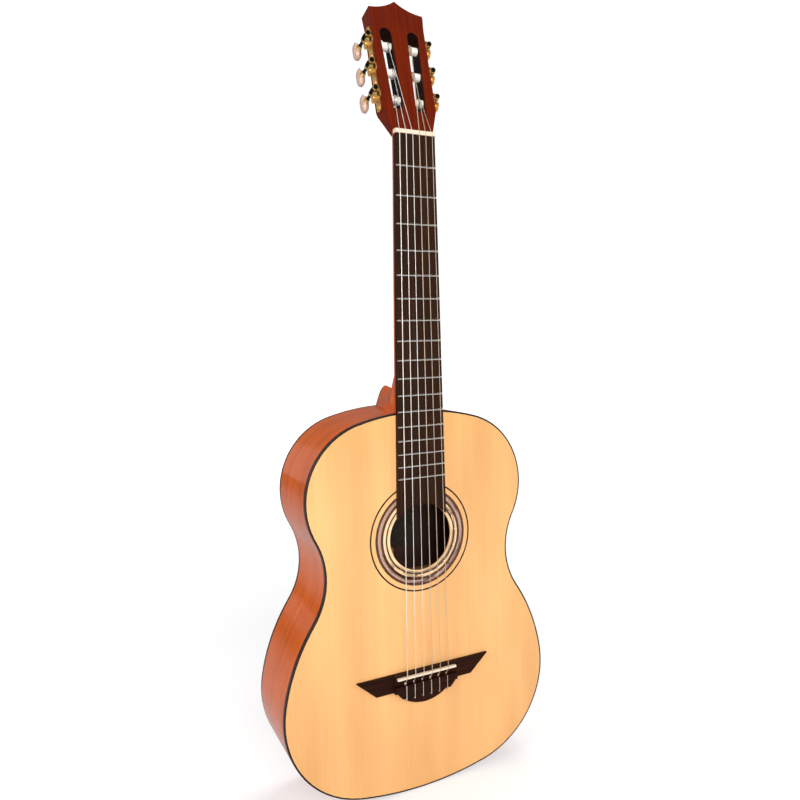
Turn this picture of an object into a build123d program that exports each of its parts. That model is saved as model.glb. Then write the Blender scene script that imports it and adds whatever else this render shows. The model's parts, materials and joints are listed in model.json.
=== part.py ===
from build123d import *
import os
from math import asin, atan2, cos, hypot, pi, radians, sin

os.makedirs("parts", exist_ok=True)

# Classical guitar held upright, in millimetres. The origin is on the centre line at the
# nut's front edge, on the plane of the soundboard's face. +Z runs along the neck towards
# the head, +X towards the treble side and +Y from the soundboard to the back.

# --- driving dimensions: strings and neck -----------------------------------------------
scale_length = 650.0
string_radii = {1: 0.36, 2: 0.41, 3: 0.51, 4: 0.37, 5: 0.44, 6: 0.54}
nut_spread = 43.0  # between the outer strings at the nut
saddle_spread = 58.0  # and at the saddle
saddle_setback = 3.5  # extra length that keeps the high notes in tune
nut_width = 52.0
joint_width = 62.0  # of the fingerboard at the body joint
joint_z = -scale_length / 2
board_thickness = 6.0
fret_count = 17
fret_height = 1.0
fret_width = 2.0
fret_inset = 0.4  # from the board's edges
tang_width = 0.6
tang_depth = 1.6
nut_length = 5.0
nut_rise = 8.3  # above the glue plane
nut_groove_rise = 7.5
nut_crown_z = 1.2
nut_fall = 1.4  # of the nut's top towards the head
neck_depth_nut = 16.5
neck_depth_joint = 20.2
heel_foot_z = -327.0
# depth behind the soundboard's plane and height of the heel's ridge, from the neck to the cap
heel_ridge = [
    (6.0, -250.0),
    (19.5, -266.0),
    (24.3, -284.0),
    (37.5, -297.2),
    (55.5, -302.0),
    (76.0, -302.0),
    (97.0, -301.0),
]
heel_depth = heel_ridge[-1][0]
heel_reach = 103.75  # depth at which the heel's half ellipse would close
heel_powers = (2.0, 1.5)  # of the heel's arch at the neck, which is round, and at the cap
heel_arch_steps = 12
foot_half_width = 30.0
foot_length = 52.0
web_half_width = 8.0
web_overlap = 1.0  # of the web through the sides into the heel

# --- driving dimensions: body -----------------------------------------------------------
body_top = joint_z
body_depth = 100.0
# radius and turn of the upper bout, its shoulder, the waist, the flank and the lower bout
body_arcs = [(295.0, -15.8), (93.8, -102.2), (93.8, 62.4), (236.0, -24.6), (120.0, -87.6)]
reach = 200.0  # beyond the body on either side
top_thickness = 2.5
back_thickness = 2.5
side_thickness = 2.2
binding_height = 5.0
lining_width = 6.0
lining_height = 14.0
hole_z = -482.0
hole_radius = 42.4
rosette_depth = 1.0
rosette_radii = [42.4, 46.2, 47.8, 51.4, 55.0, 58.6, 61.8]
outer_ring_radii = [67.2, 69.2]
harmonic_bar_zs = [-418.0, -546.0]
bar_width = 8.0
bar_height = 15.0
fan_count = 7
fan_focus_z = -160.0
fan_step = 4.6  # degrees between neighbouring fan braces
fan_width = 6.0
fan_height = 4.5
fan_bottom_z = -774.0
back_brace_zs = [-424.0, -560.0, -690.0]
strip_half_width = 7.0
strip_thickness = 2.0
tail_block_half_width = 35.0
tail_block_length = 18.0
end_strip_half_width = 6.0
label_half_width = 38.0
label_zs = (-523.0, -469.0)
label_thickness = 0.3

# --- driving dimensions: bridge ---------------------------------------------------------
bridge_top_z = -649.5
bridge_tip_x = 92.5
bridge_corner = (67.0, -672.0)
bridge_wing = 3.6
bridge_centre_x = 44.0
bridge_lobe = (41.0, -693.0)
ridge_end_z = -657.0
ridge_height = 8.0
valley_height = 4.2
tie_block_zs = (-680.0, -664.0)
tie_block_height = 9.2
tie_hole_y = -5.6
tie_hole_radius = 0.9
knot_z = -662.5
tie_loop_reach = 2.6  # of the string beyond the tie block
knot_lift = 1.6  # of the knot above the string's bend at the tie hole
string_bends = [6.0, 4.0, 3.0, 1.6, 1.6]
groove_reach = 9.0
groove_gap = 0.03
corner_lift = 0.2  # of the route's corner above the bottom of a groove
strand_gap = 0.1  # between neighbouring strands of one string
loop_overlap = 1.0  # of the loop's end beyond the knot
saddle_half_length = 41.0
saddle_half_width = 1.4
saddle_rise = 11.8
saddle_slot_y = -4.0
saddle_z = -scale_length - saddle_setback

# --- driving dimensions: head and tuners ------------------------------------------------
head_tilt = 15.0
head_face_y = -1.5
head_overlap = 1.0  # of the head into the neck, below the nut's back
head_thickness = 20.0
veneer_thickness = 2.5
head_half_width = 35.3
head_corner = (36.6, 157.0)
head_peak = 170.0
head_shoulder_u = 25.0
head_shoulder_turn = (1.5, 5.0)  # how far inside and above the shoulder the edge turns straight
head_corner_turn = (1.0, 2.0)  # size of the small facet at the upper corner
head_taper_depths = (15.0, 6.0)  # where the taper below the shoulder passes at the nut: depth, width
head_sag = 3.4  # of the hollow curves on either side of the peak
slot_low = (15.0, 34.5, 6.6)  # x, distance up the face, radius of the rounded end
slot_high = (18.2, 124.0, 7.6)
ramp = (18.0, 3.6)  # where the string ramp starts and its depth at the slot's low end
ramp_xs = (10.0, 21.4)
roller_stations = [42.0, 77.0, 112.0]
roller_depth = 8.0  # of the roller axes behind the face
roller_radius = 5.0
roller_gap = 0.4  # to the slot's walls
inner_journal = (3.0, 6.0)  # radius and length
outer_journal_radius = 4.0
running_clearance = 0.06
blind_end_gap = 0.4
anchor_xs = [17.5, 14.5, 15.8]  # where each string meets its roller
cord_hole_radius = 0.8
wrap_count = 3
wrap_gap = 0.3  # keeps the still wraps clear of the turning roller
plate_thickness = 1.2
plate_ends = (26.0, 135.5)
plate_middle = 9.5  # of the plate behind the face
strap_half_width = 5.0
plate_lobe_radius = 8.8
lobe_lift = 5.0  # of each lobe's centre above its roller axis
gear_teeth = 15
gear_pitch_radius = 6.0
gear_addendum = 0.55
gear_dedendum = 0.8
gear_width = 3.0
gear_hub_radius = 3.5
gear_pin = (2.5, 3.5)  # radius and length inside the roller's outer journal
gear_screw = (1.0, 2.6, 1.4)  # shank radius, head radius, head height
screw_slot_width = 0.6
root_overlap = 0.3  # of a thread or tooth into its core
worm_x = 41.0
worm_pitch_radius = 3.2
worm_core_radius = 2.4
worm_tip_radius = 3.7
worm_turns = 3
tooth_width = 0.86  # at the pitch line, on the gear and the worm alike
flank_slope = 0.364
shaft_radius = 2.0
lug_half_width = 3.4
lug_thickness = 2.0
lug_gap = 0.3
collar = (2.7, 1.2)  # radius and length of the shaft's front collar
ferrule = (3.3, 4.0)  # radius and length
button_size = (9.0, 22.0, 14.0)  # thickness, width, height along the shaft
button_rear = 43.0  # behind the face
button_rounding = 3.0
shaft_inside_button = 8.0
screw_stations = [30.5, 62.5, 97.5, 131.0]
screw = (1.2, 2.3, 1.0, 9.0)  # shank radius, head radius, head height, length

def level(y):
    """Plane parallel to the soundboard and y behind its face."""
    return Plane.XZ.offset(-y)


def body_section(y, inset=0.0):
    """Plan shape of the body at a level, moved inwards by inset."""
    with BuildSketch(level(y)) as section:
        with BuildLine():
            start = Vector(0, body_top)
            tangent = Vector(1, 0)
            remaining = 180.0
            for radius, turn in body_arcs:
                arc = JernArc(start, tangent, radius, turn)
                start = arc @ 1
                tangent = arc % 1
                remaining += turn
            tail = JernArc(start, tangent, start.X / sin(radians(remaining)), -remaining)
            Line(tail @ 1, (0, body_top))
        make_face()
        mirror(about=Plane.YZ)
        if inset:
            offset(amount=-inset)
    return section.sketch


def body_wall(y, height, outer_inset, inner_inset):
    """Closed wall that follows the body outline between two insets."""
    with BuildPart() as wall:
        extrude(body_section(y, outer_inset), amount=-height)
        extrude(body_section(y, inner_inset), amount=-height, mode=Mode.SUBTRACT)
    return wall.part


def block(low, high):
    """Loose box from its low corner to its high corner."""
    size = [high[axis] - low[axis] for axis in range(3)]
    middle = [(high[axis] + low[axis]) / 2 for axis in range(3)]
    return Pos(*middle) * Box(*size, mode=Mode.PRIVATE)


def cross_bars(stations, near_y, inset):
    """Bars across the body that end on a wall inset from the outline."""
    with BuildPart() as bars:
        for station in stations:
            with Locations((0, near_y + bar_height / 2, station)):
                Box(2 * reach, bar_height, bar_width)
        extrude(body_section(near_y, inset), amount=-bar_height, mode=Mode.INTERSECT)
    return bars.part


# --- body -------------------------------------------------------------------------------
inner_back_y = body_depth - back_thickness
back_rim_y = body_depth - binding_height
lining_inset = side_thickness + lining_width
outline_bottom_z = body_section(0).bounding_box().min.Z
foot_low_z = body_top - side_thickness - foot_length
tail_top_z = outline_bottom_z + side_thickness + tail_block_length
hole_plane = Plane(origin=(0, 0, hole_z), x_dir=(1, 0, 0), z_dir=(0, -1, 0))

foot_space = block((-foot_half_width, 0, foot_low_z), (foot_half_width, body_depth, body_top))
tail_space = block(
    (-tail_block_half_width, 0, outline_bottom_z), (tail_block_half_width, body_depth, tail_top_z)
)
web_space = block((-web_half_width, 0, foot_low_z), (web_half_width, body_depth, body_top))
strip_space = block(
    (-end_strip_half_width, 0, outline_bottom_z), (end_strip_half_width, body_depth, tail_top_z)
)

with BuildPart() as soundboard:
    extrude(body_section(0, side_thickness), amount=-top_thickness)
    with BuildSketch(hole_plane):
        Circle(hole_radius)
    extrude(amount=-top_thickness, mode=Mode.SUBTRACT)
    with BuildSketch(hole_plane):
        Circle(outer_ring_radii[1])
        Circle(outer_ring_radii[0], mode=Mode.SUBTRACT)
        Circle(rosette_radii[-1])
    extrude(amount=-rosette_depth, mode=Mode.SUBTRACT)
soundboard.part.label = "soundboard"
export_step(soundboard.part, "parts/soundboard.step")

rosette_rings = []
for inner, outer in [*zip(rosette_radii, rosette_radii[1:]), outer_ring_radii]:
    with BuildPart() as rosette_ring:
        with BuildSketch(hole_plane):
            Circle(outer)
            Circle(inner, mode=Mode.SUBTRACT)
        extrude(amount=-rosette_depth)
    rosette_rings.append(rosette_ring.part.solid())
rosette = Compound(label="rosette", children=rosette_rings)
export_step(rosette, "parts/rosette.step")

with BuildPart() as back:
    extrude(body_section(inner_back_y, side_thickness), amount=-back_thickness)
back.part.label = "back"
export_step(back.part, "parts/back.step")

for side_name, side in (("side_bass", -1), ("side_treble", 1)):
    half = block((min(side * reach, 0), 0, -2 * scale_length), (max(side * reach, 0), body_depth, 0))
    with BuildPart() as rib:
        add(body_wall(binding_height, body_depth - 2 * binding_height, 0, side_thickness))
        add(half, mode=Mode.INTERSECT)
        add([web_space, strip_space], mode=Mode.SUBTRACT)
    rib.part.label = side_name
    export_step(rib.part, f"parts/{side_name}.step")

with BuildPart() as end_strip:
    add(body_wall(binding_height, body_depth - 2 * binding_height, 0, side_thickness))
    add(strip_space, mode=Mode.INTERSECT)
end_strip.part.label = "end_strip"
export_step(end_strip.part, "parts/end_strip.step")

for binding_name, rim_y in (("binding_front", 0.0), ("binding_back", back_rim_y)):
    with BuildPart() as binding:
        add(body_wall(rim_y, binding_height, 0, side_thickness))
    binding.part.label = binding_name
    export_step(binding.part, f"parts/{binding_name}.step")

lining_levels = (("linings_front", top_thickness), ("linings_back", inner_back_y - lining_height))
for lining_name, lining_y in lining_levels:
    with BuildPart() as lining:
        add(body_wall(lining_y, lining_height, side_thickness, lining_inset))
        add([foot_space, tail_space], mode=Mode.SUBTRACT)
    lining.part.label = lining_name
    export_step(lining.part, f"parts/{lining_name}.step")

with BuildPart() as tail_block:
    extrude(body_section(top_thickness, side_thickness), amount=top_thickness - inner_back_y)
    add(tail_space, mode=Mode.INTERSECT)
tail_block.part.label = "tail_block"
export_step(tail_block.part, "parts/tail_block.step")

with BuildPart() as harmonic_bars:
    add(cross_bars(harmonic_bar_zs, top_thickness, lining_inset))
harmonic_bars.part.label = "harmonic_bars"
export_step(harmonic_bars.part, "parts/harmonic_bars.step")

with BuildPart() as fan_braces:
    with BuildSketch(level(top_thickness)):
        for index in range(fan_count):
            angle = fan_step * (index - (fan_count - 1) / 2)
            near = fan_focus_z - harmonic_bar_zs[1]
            far = fan_focus_z - fan_bottom_z
            middle = (near + far) / 2
            centre = (middle * sin(radians(angle)), fan_focus_z - middle * cos(radians(angle)))
            with Locations(centre):
                Rectangle(fan_width, 2 * (far - near), rotation=angle)
    extrude(amount=-fan_height)
    lower_bar_edge = harmonic_bar_zs[1] - bar_width / 2
    fan_space = block((-reach, 0, fan_bottom_z), (reach, body_depth, lower_bar_edge))
    add(fan_space, mode=Mode.INTERSECT)
    extrude(body_section(top_thickness, lining_inset), amount=-fan_height, mode=Mode.INTERSECT)
fan_braces.part.label = "fan_braces"
export_step(fan_braces.part, "parts/fan_braces.step")

with BuildPart() as back_braces:
    add(cross_bars(back_brace_zs, inner_back_y - bar_height, lining_inset))
back_braces.part.label = "back_braces"
export_step(back_braces.part, "parts/back_braces.step")

label_y = inner_back_y - label_thickness
with BuildPart() as label:
    add(
        block(
            (-label_half_width, label_y, label_zs[0]), (label_half_width, inner_back_y, label_zs[1])
        )
    )
label.part.label = "label"
export_step(label.part, "parts/label.step")

with BuildPart() as back_strip:
    add(
        block(
            (-strip_half_width, inner_back_y - strip_thickness, tail_top_z),
            (strip_half_width, inner_back_y, foot_low_z),
        )
    )
    for station in back_brace_zs:
        with Locations((0, inner_back_y, station)):
            Box(2 * reach, bar_height, bar_width, mode=Mode.SUBTRACT)
    with Locations((0, inner_back_y, sum(label_zs) / 2)):
        Box(2 * reach, bar_height, label_zs[1] - label_zs[0], mode=Mode.SUBTRACT)
back_strip.part.label = "back_strip"
export_step(back_strip.part, "parts/back_strip.step")

# --- head geometry ----------------------------------------------------------------------
# On the head's face, local x is across, y is up the face and z is out of it.
face_out = Vector(0, -cos(radians(head_tilt)), sin(radians(head_tilt)))
face_up = Vector(0, sin(radians(head_tilt)), cos(radians(head_tilt)))
head_plane = Plane(origin=(0, head_face_y, nut_length), x_dir=(1, 0, 0), z_dir=face_out)


def head_outline(plane, low_u):
    """Outline of the head on a plane parallel to its face, from low_u upwards."""
    corner_x, corner_u = head_corner
    inward, upward = head_shoulder_turn
    facet_x, facet_u = head_corner_turn
    half_nut = nut_width / 2
    curve_middle = (corner_x / 2, (corner_u + head_peak) / 2 - head_sag)
    with BuildSketch(plane) as outline:
        with BuildLine():
            Polyline(
                (0, low_u),
                (half_nut, low_u),
                (half_nut, 0),
                (head_half_width - inward, head_shoulder_u),
                (head_half_width, head_shoulder_u + upward),
                (head_half_width, plate_ends[1] + facet_u),
                (corner_x, corner_u - facet_u),
                (corner_x - facet_x, corner_u),
            )
            ThreePointArc((corner_x - facet_x, corner_u), curve_middle, (0, head_peak))
            Line((0, head_peak), (0, low_u))
        make_face()
        mirror(about=Plane.YZ)
    return outline.sketch


def slot_outline(plane):
    """Both string slots of the head, each the hull of its two rounded ends."""
    with BuildSketch(plane) as slots:
        with Locations(slot_low[:2]):
            Circle(slot_low[2])
        with Locations(slot_high[:2]):
            Circle(slot_high[2])
        make_hull()
        mirror(about=Plane.YZ)
    return slots.sketch


def slot_walls(station):
    """Inner and outer edge of a slot at a roller station."""
    share = (station - slot_low[1]) / (slot_high[1] - slot_low[1])
    middle = slot_low[0] + share * (slot_high[0] - slot_low[0])
    half = slot_low[2] + share * (slot_high[2] - slot_low[2])
    return middle - half, middle + half


def axle_plane(side, x, station, depth=roller_depth):
    """Plane across a cross axle of the head, at x from the centre line and facing outwards."""
    origin = head_plane.from_local_coords(Vector(side * x, station, -depth))
    return Plane(origin=origin, x_dir=face_up, z_dir=(side, 0, 0))


def rod(plane, radius, length):
    """Loose round bar that stands on a plane."""
    with BuildPart() as bar:
        with BuildSketch(plane):
            Circle(radius)
        extrude(amount=length)
    return bar.part


def string_ramps():
    """Cutter for the slopes that lead the strings into the slots."""
    start, depth = ramp
    with BuildPart() as ramps:
        for side in (-1, 1):
            ramp_plane = axle_plane(side, ramp_xs[0], 0, 0)
            with BuildSketch(ramp_plane):
                with BuildLine():
                    Polyline(
                        (start, 0),
                        (slot_low[1], -side * depth),
                        (slot_low[1], side * depth),
                        (start, side * depth),
                        close=True,
                    )
                make_face()
            extrude(amount=ramp_xs[1] - ramp_xs[0])
    return ramps.part


# --- neck -------------------------------------------------------------------------------
heel_half_width = joint_width / 2


def heel_section(y, ridge_z):
    """Arch of the heel at a level: its feet on the body, its top at the ridge."""
    half_width = heel_half_width * (1 - (y / heel_reach) ** 2) ** 0.5
    first_power, last_power = heel_powers
    power = first_power + (last_power - first_power) * y / heel_depth
    arch_points = []
    for step in range(heel_arch_steps + 1):
        angle = pi * step / heel_arch_steps
        across = abs(cos(angle)) ** (2 / power) * (1 if cos(angle) > 0 else -1)
        up = abs(sin(angle)) ** (2 / power)
        arch_points.append((half_width * across, heel_foot_z + (ridge_z - heel_foot_z) * up))
    with BuildSketch(level(y)) as section:
        with BuildLine():
            arch = Spline(*arch_points, tangents=[(0, 1), (0, -1)])
            Line(arch @ 1, arch @ 0)
        make_face()
    return section.sketch


def board_width(z):
    """Width of the fingerboard at a height along the neck."""
    return nut_width + (joint_width - nut_width) * z / joint_z


def neck_section(z, depth):
    """Half-round section of the neck under the fingerboard."""
    with BuildSketch(Plane.XY.offset(z)) as section:
        Ellipse(board_width(z) / 2, depth)
        with Locations((0, depth / 2)):
            Rectangle(board_width(z), depth, mode=Mode.INTERSECT)
    return section.sketch


with BuildPart() as shaft_and_heel:
    loft([neck_section(heel_foot_z, neck_depth_joint), neck_section(0, neck_depth_nut)])
    loft([heel_section(*ridge_point) for ridge_point in heel_ridge])
    extrude(body_section(0), amount=-body_depth, mode=Mode.SUBTRACT)

with BuildPart() as foot:
    extrude(body_section(top_thickness, side_thickness), amount=top_thickness - inner_back_y)
    add(foot_space, mode=Mode.INTERSECT)
    add(
        block(
            (-web_half_width, binding_height, foot_low_z),
            (web_half_width, back_rim_y, body_top + web_overlap),
        )
    )

# The head's sides lean in below the shoulders, so that the wood meets the neck's round back.
taper_depth, taper_width = head_taper_depths
taper_start = head_plane.from_local_coords(Vector(nut_width / 2, 0, -veneer_thickness))
taper_low = head_plane.from_local_coords(Vector(nut_width / 2 - taper_width, 0, -taper_depth))
taper_end = head_plane.from_local_coords(
    Vector(head_half_width - head_shoulder_turn[0], head_shoulder_u, -head_thickness)
)
taper_run = taper_end - taper_start
taper_plane = Plane(
    origin=taper_start, x_dir=taper_run, z_dir=(taper_low - taper_start).cross(taper_run)
)
with BuildPart() as taper_cut:
    with BuildSketch(taper_plane):
        with Locations((taper_run.length / 2, 0)):
            Rectangle(taper_run.length, 4 * head_thickness)
    extrude(amount=head_thickness)
    mirror(about=Plane.YZ)

head_holes = []
for side in (-1, 1):
    for station in roller_stations:
        inner_edge, outer_edge = slot_walls(station)
        blind_end = inner_edge - inner_journal[1] - blind_end_gap
        blind_plane = axle_plane(side, blind_end, station)
        through_plane = axle_plane(side, outer_edge - 1, station)
        inner_hole = inner_journal[0] + running_clearance
        outer_hole = outer_journal_radius + running_clearance
        head_holes.append(rod(blind_plane, inner_hole, inner_edge + 1 - blind_end))
        head_holes.append(rod(through_plane, outer_hole, head_half_width + 2 - outer_edge))
    for station in screw_stations:
        pilot_plane = axle_plane(side, head_half_width - screw[3], station, plate_middle)
        head_holes.append(rod(pilot_plane, screw[0], screw[3]))

slot_cut = slot_outline(head_plane)
ramp_cut = string_ramps()

with BuildPart() as neck:
    extrude(
        head_outline(head_plane.offset(-veneer_thickness), -head_overlap),
        amount=veneer_thickness - head_thickness,
    )
    add(taper_cut.part, mode=Mode.SUBTRACT)
    extrude(neck_section(0, neck_depth_nut), amount=nut_length)
    add([shaft_and_heel.part, foot.part])
    extrude(slot_cut, amount=-2 * head_thickness, mode=Mode.SUBTRACT)
    add(ramp_cut, mode=Mode.SUBTRACT)
    add(head_holes, mode=Mode.SUBTRACT)
neck.part.label = "neck"
export_step(neck.part, "parts/neck.step")

with BuildPart() as heel_cap:
    extrude(heel_section(*heel_ridge[-1]), amount=heel_depth - body_depth)
    extrude(body_section(0), amount=-body_depth, mode=Mode.SUBTRACT)
heel_cap.part.label = "heel_cap"
export_step(heel_cap.part, "parts/heel_cap.step")

fret_zs = [-scale_length * (1 - 2 ** (-number / 12)) for number in range(1, fret_count + 1)]

with BuildPart() as fingerboard:
    with BuildSketch(level(0)):
        with BuildLine():
            half_end = board_width(hole_z + hole_radius / 2) / 2
            Polyline(
                (-nut_width / 2, 0),
                (nut_width / 2, 0),
                (half_end, hole_z + hole_radius / 2),
                (-half_end, hole_z + hole_radius / 2),
                close=True,
            )
        make_face()
        with Locations((0, hole_z)):
            Circle(hole_radius, mode=Mode.SUBTRACT)
    extrude(amount=board_thickness)
    for fret_z in fret_zs:
        with Locations((0, -board_thickness, fret_z)):
            Box(2 * joint_width, 2 * tang_depth, tang_width, mode=Mode.SUBTRACT)
fingerboard.part.label = "fingerboard"
export_step(fingerboard.part, "parts/fingerboard.step")

fret_bars = []
for fret_z in fret_zs:
    with BuildPart() as fret:
        with BuildSketch(Plane.YZ):
            with BuildLine():
                crown_low = (-board_thickness, fret_z - fret_width / 2)
                crown_high = (-board_thickness, fret_z + fret_width / 2)
                ThreePointArc(crown_low, (-board_thickness - fret_height, fret_z), crown_high)
                Polyline(
                    crown_high,
                    (-board_thickness, fret_z + tang_width / 2),
                    (-board_thickness + tang_depth, fret_z + tang_width / 2),
                    (-board_thickness + tang_depth, fret_z - tang_width / 2),
                    (-board_thickness, fret_z - tang_width / 2),
                    crown_low,
                )
            make_face()
        extrude(amount=board_width(fret_z) / 2 - fret_inset, both=True)
    fret_bars.append(fret.part.solid())
frets = Compound(label="frets", children=fret_bars)
export_step(frets, "parts/frets.step")

with BuildPart() as head_veneer:
    extrude(head_outline(head_plane, -nut_length), amount=-veneer_thickness)
    extrude(slot_cut, amount=-2 * veneer_thickness, mode=Mode.SUBTRACT)
    add(ramp_cut, mode=Mode.SUBTRACT)
    nut_space = block((-nut_width, -head_thickness, -nut_length), (nut_width, head_thickness, nut_length))
    add(nut_space, mode=Mode.SUBTRACT)
head_veneer.part.label = "head_veneer"
export_step(head_veneer.part, "parts/head_veneer.step")

# --- strings ----------------------------------------------------------------------------


def string_x(number, spread):
    """Place of a string across the neck, with string 1 on the treble side."""
    return spread / 2 - (number - 1) * spread / 5


def roller_of(number):
    """Side of the head and index of the roller that holds a string."""
    if number <= 3:
        return 1, number - 1
    return -1, 6 - number


def nut_point(number):
    """Corner of a string's centre line over the nut."""
    rise = nut_groove_rise + string_radii[number] + corner_lift
    return Vector(string_x(number, nut_spread), -rise, nut_crown_z)


def saddle_point(number):
    """Corner of a string's centre line over the saddle."""
    rise = saddle_rise + string_radii[number] + corner_lift
    return Vector(string_x(number, saddle_spread), -rise, saddle_z)


def roller_point(number):
    """Point where a string's centre line meets its roller."""
    side, index = roller_of(number)
    start = head_plane.to_local_coords(nut_point(number))
    wrap_radius = roller_radius + wrap_gap + string_radii[number]
    run_u = roller_stations[index] - start.Y
    run_out = -roller_depth - start.Z
    distance = hypot(run_u, run_out)
    reach_length = (distance**2 - wrap_radius**2) ** 0.5
    angle = atan2(run_out, run_u) + asin(wrap_radius / distance)
    touch = Vector(
        side * anchor_xs[index],
        start.Y + reach_length * cos(angle),
        start.Z + reach_length * sin(angle),
    )
    return head_plane.from_local_coords(touch)


def tube(points, radius, bends):
    """Round bar along straight runs joined by tangent arcs."""
    with BuildPart() as bar:
        with BuildLine() as route:
            FilletPolyline(*points, radius=bends)
        with BuildSketch(Plane(origin=route.line @ 0, z_dir=route.line % 0)):
            Circle(radius)
        sweep(path=route.line)
    return bar.part


def string_points(number):
    """Corners of a string's route, from its roller to the knot at the bridge."""
    radius = string_radii[number]
    saddle = saddle_point(number)
    over_block_y = -tie_block_height - radius - strand_gap
    loop_z = tie_block_zs[0] - tie_loop_reach
    return [
        roller_point(number),
        nut_point(number),
        saddle,
        Vector(saddle.X, tie_hole_y, knot_z),
        Vector(saddle.X, tie_hole_y, loop_z),
        Vector(saddle.X, over_block_y, loop_z),
        Vector(saddle.X, over_block_y, knot_z - loop_overlap),
    ]


def groove_at(number, corner):
    """Cutter, a hair wider than a string, around one corner of its route."""
    points = string_points(number)
    before = points[corner] + (points[corner - 1] - points[corner]).normalized() * groove_reach
    after = points[corner] + (points[corner + 1] - points[corner]).normalized() * groove_reach
    cutter_radius = string_radii[number] + groove_gap
    return tube([before, points[corner], after], cutter_radius, string_bends[corner - 1])


string_numbers = sorted(string_radii)
for number in string_numbers:
    radius = string_radii[number]
    points = string_points(number)
    side, index = roller_of(number)
    fall = (points[3] - points[2]).normalized()
    with BuildPart() as string:
        add(tube(points, radius, string_bends))
        with Locations(Plane(origin=points[3] - fall * knot_lift, z_dir=fall)):
            Torus(2 * radius + strand_gap / 2, radius)
        for turn in range(1, wrap_count + 1):
            wrap_x = anchor_xs[index] - turn * (2 * radius + strand_gap)
            with Locations(axle_plane(side, wrap_x, roller_stations[index])):
                Torus(roller_radius + wrap_gap + radius, radius)
    string.part.label = f"string_{number}"
    export_step(string.part, f"parts/string_{number}.step")

with BuildPart() as nut:
    with BuildSketch(Plane.YZ):
        with BuildLine():
            Polyline(
                (0, 0),
                (-nut_rise, 0),
                (-nut_rise, nut_crown_z),
                (-nut_rise + nut_fall, nut_length),
                (0, nut_length),
                close=True,
            )
        make_face()
    extrude(amount=nut_width / 2, both=True)
    add([groove_at(number, 1) for number in string_numbers], mode=Mode.SUBTRACT)
nut.part.label = "nut"
export_step(nut.part, "parts/nut.step")

with BuildPart() as saddle_bar:
    add(
        block(
            (-saddle_half_length, -saddle_rise, saddle_z - saddle_half_width),
            (saddle_half_length, saddle_slot_y, saddle_z + saddle_half_width),
        )
    )
    top_edges = saddle_bar.faces().sort_by(Axis.Y)[0].edges().filter_by(Axis.X)
    fillet(top_edges, radius=saddle_half_width / 2)
    add([groove_at(number, 2) for number in string_numbers], mode=Mode.SUBTRACT)
saddle_bar.part.label = "saddle"
export_step(saddle_bar.part, "parts/saddle.step")

# --- bridge -----------------------------------------------------------------------------
with BuildPart() as bridge:
    with BuildSketch(level(0)) as bridge_plan:
        with BuildLine():
            lobe_x, lobe_z = bridge_lobe
            corner_x, corner_z = bridge_corner
            Polyline(
                (0, bridge_top_z),
                (bridge_tip_x, bridge_top_z),
                (corner_x, corner_z),
                (lobe_x, corner_z),
            )
            lobe_drop = corner_z - lobe_z
            lobe_arc_radius = (lobe_x**2 + lobe_drop**2) / (2 * lobe_drop)
            RadiusArc((lobe_x, corner_z), (0, lobe_z), lobe_arc_radius)
            Line((0, lobe_z), (0, bridge_top_z))
        make_face()
        mirror(about=Plane.YZ)
    steps = [
        (ridge_height, ridge_end_z, bridge_top_z),
        (valley_height, tie_block_zs[1], ridge_end_z),
        (tie_block_height, tie_block_zs[0], tie_block_zs[1]),
        (bridge_wing, bridge_lobe[1], tie_block_zs[0]),
    ]
    for height, low_z, high_z in steps:
        add(block((-bridge_centre_x, -height, low_z), (bridge_centre_x, 0, high_z)))
    extrude(bridge_plan.sketch, amount=tie_block_height, mode=Mode.INTERSECT)
    extrude(bridge_plan.sketch, amount=bridge_wing)
    add(
        block(
            (-saddle_half_length, -saddle_rise, saddle_z - saddle_half_width),
            (saddle_half_length, saddle_slot_y, saddle_z + saddle_half_width),
        ),
        mode=Mode.SUBTRACT,
    )
    for number in string_numbers:
        hole_start = Plane(origin=(string_x(number, saddle_spread), tie_hole_y, tie_block_zs[0]))
        tie_hole = rod(hole_start, tie_hole_radius, tie_block_zs[1] - tie_block_zs[0])
        add(tie_hole, mode=Mode.SUBTRACT)
bridge.part.label = "bridge"
export_step(bridge.part, "parts/bridge.step")

# --- tuners -----------------------------------------------------------------------------
worm_lift = gear_pitch_radius + worm_pitch_radius
tooth_pitch = 2 * pi * gear_pitch_radius / gear_teeth
worm_half_length = worm_turns * tooth_pitch / 2
lug_inner = worm_half_length + tooth_pitch / 2
plate_outer_x = head_half_width + plate_thickness
gear_inner_x = worm_x - gear_width / 2


def flank_width(step):
    """Width of a tooth at a step above its pitch line."""
    return tooth_width - 2 * flank_slope * step


with BuildPart() as worm:
    with BuildLine() as thread_path:
        Helix(tooth_pitch, 2 * worm_half_length, worm_pitch_radius)
    with BuildSketch(Plane(origin=thread_path.line @ 0, x_dir=(1, 0, 0), z_dir=thread_path.line % 0)):
        root_step = worm_core_radius - worm_pitch_radius - root_overlap
        tip_step = worm_tip_radius - worm_pitch_radius
        with BuildLine():
            Polyline(
                (root_step, -flank_width(root_step) / 2),
                (tip_step, -flank_width(tip_step) / 2),
                (tip_step, flank_width(tip_step) / 2),
                (root_step, flank_width(root_step) / 2),
                close=True,
            )
        make_face()
    sweep(path=thread_path.line, is_frenet=True)
    core_start = worm_half_length - lug_inner + lug_gap
    add(rod(Plane.XY.offset(core_start), worm_core_radius, 2 * (lug_inner - lug_gap)))

root_radius = gear_pitch_radius - gear_dedendum
tip_radius = gear_pitch_radius + gear_addendum
with BuildSketch() as tooth:
    with BuildLine():
        Polyline(
            (root_radius - root_overlap, -flank_width(-gear_dedendum) / 2),
            (tip_radius, -flank_width(gear_addendum) / 2),
            (tip_radius, flank_width(gear_addendum) / 2),
            (root_radius - root_overlap, flank_width(-gear_dedendum) / 2),
            close=True,
        )
    make_face()

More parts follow.
